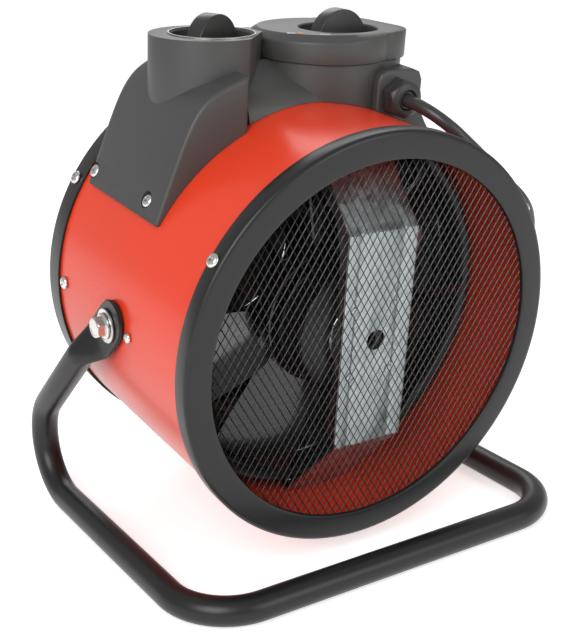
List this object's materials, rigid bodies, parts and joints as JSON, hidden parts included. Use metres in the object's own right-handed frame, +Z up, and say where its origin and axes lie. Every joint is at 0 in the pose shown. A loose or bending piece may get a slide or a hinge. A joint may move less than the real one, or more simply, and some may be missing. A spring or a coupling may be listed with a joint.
{
  "type": "forced air heater",
  "caption": "Portable electric fan heater: round steel drum with meshed ends and a top control housing, tilting in a bent tube floor stand.",
  "frame": {"origin": "on the floor under the middle of the stand, at the bottom centre of the box without the cord", "axes": "+Z up, -Y the way the meshed intake faces, +X to the right as seen from the front"},
  "size_m": [0.3134, 0.405, 0.3511],
  "materials": {
    "drum_red": "glossy powder coat",
    "black_paint": "satin black powder coat",
    "housing_plastic": "satin moulded dark grey",
    "knob_plastic": "satin moulded black",
    "cord_rubber": "matte black sheath",
    "gland_nylon": "satin black",
    "zinc_steel": "bright zinc plate",
    "galvanised_steel": "galvanised sheet",
    "bare_aluminium": "die cast",
    "fan_black": "satin black paint",
    "element_steel": "heat-tinted steel",
    "brass": "turned",
    "ceramic": "unglazed"
  },
  "bodies": {
    "stand": {"stand_tube": "black_paint", "cord_coil": "cord_rubber", "power_cord": "cord_rubber", "plug_body": "cord_rubber", "plug_pin_left": "brass", "plug_pin_right": "brass"},
    "heater": {"barrel_shell": "drum_red", "intake_rim": "black_paint", "outlet_ring": "black_paint", "intake_mesh": "black_paint", "outlet_grille": "black_paint", "fan_shroud": "black_paint", "motor_can": "black_paint", "control_housing": "housing_plastic", "control_cap": "housing_plastic", "selector_switch": "housing_plastic", "gland_body": "gland_nylon", "gland_dome_nut": "gland_nylon", "gland_locknut": "gland_nylon", "front_bearing": "zinc_steel", "rear_bearing": "zinc_steel", "dial_ring": "zinc_steel", "tilt_bolt_left": "zinc_steel", "tilt_bolt_right": "zinc_steel", "tilt_washer_left": "zinc_steel", "tilt_washer_right": "zinc_steel", "tilt_nut_left": "zinc_steel", "tilt_nut_right": "zinc_steel", "stop_screw_left": "zinc_steel", "stop_screw_right": "zinc_steel", "rim_screw_left": "zinc_steel", "rim_screw_right": "zinc_steel", "outlet_screw_left": "zinc_steel", "outlet_screw_right": "zinc_steel", "side_screw_left": "zinc_steel", "side_screw_right": "zinc_steel", "housing_front_screw_left": "zinc_steel", "housing_front_screw_right": "zinc_steel", "housing_rear_screw_left": "zinc_steel", "housing_rear_screw_right": "zinc_steel", "bracket_screw_left": "zinc_steel", "bracket_screw_right": "zinc_steel", "motor_bracket": "galvanised_steel", "heat_shield": "galvanised_steel", "element_frame": "galvanised_steel", "motor_stator": "galvanised_steel", "motor_front_bell": "bare_aluminium", "heating_element_outer": "element_steel", "heating_element_inner": "element_steel", "terminal_block": "ceramic", "thermostat_body": "ceramic", "thermal_cutout": "ceramic"},
    "fan_rotor": {"fan": "fan_black", "fan_nut": "zinc_steel", "motor_shaft": "zinc_steel", "motor_rotor": "galvanised_steel"},
    "thermostat_control": {"thermostat_knob": "knob_plastic", "thermostat_spindle": "brass"},
    "selector_control": {"selector_knob": "knob_plastic", "selector_spindle": "brass"}
  },
  "joints": [
    {"name": "drum_tilt", "type": "hinge", "parent": "stand", "child": "heater", "pos_m": [0, 0.01125, 0.1603], "axis": [1, 0, 0], "range_deg": [-18.5, 4.5], "deforming": ["power_cord"]},
    {"name": "fan_spin", "type": "hinge", "parent": "heater", "child": "fan_rotor", "pos_m": [0, 0.01125, 0.1603], "axis": [0, 0.9954, 0.0958], "continuous": true},
    {"name": "thermostat_turn", "type": "hinge", "parent": "heater", "child": "thermostat_control", "pos_m": [-0.054, 0.02019, 0.33878], "axis": [0, -0.0436, 0.999], "range_deg": [-135, 135]},
    {"name": "selector_turn", "type": "hinge", "parent": "heater", "child": "selector_control", "pos_m": [0.038, 0.01118, 0.33838], "axis": [0, -0.0436, 0.999], "range_deg": [-90, 45]}
  ]
}
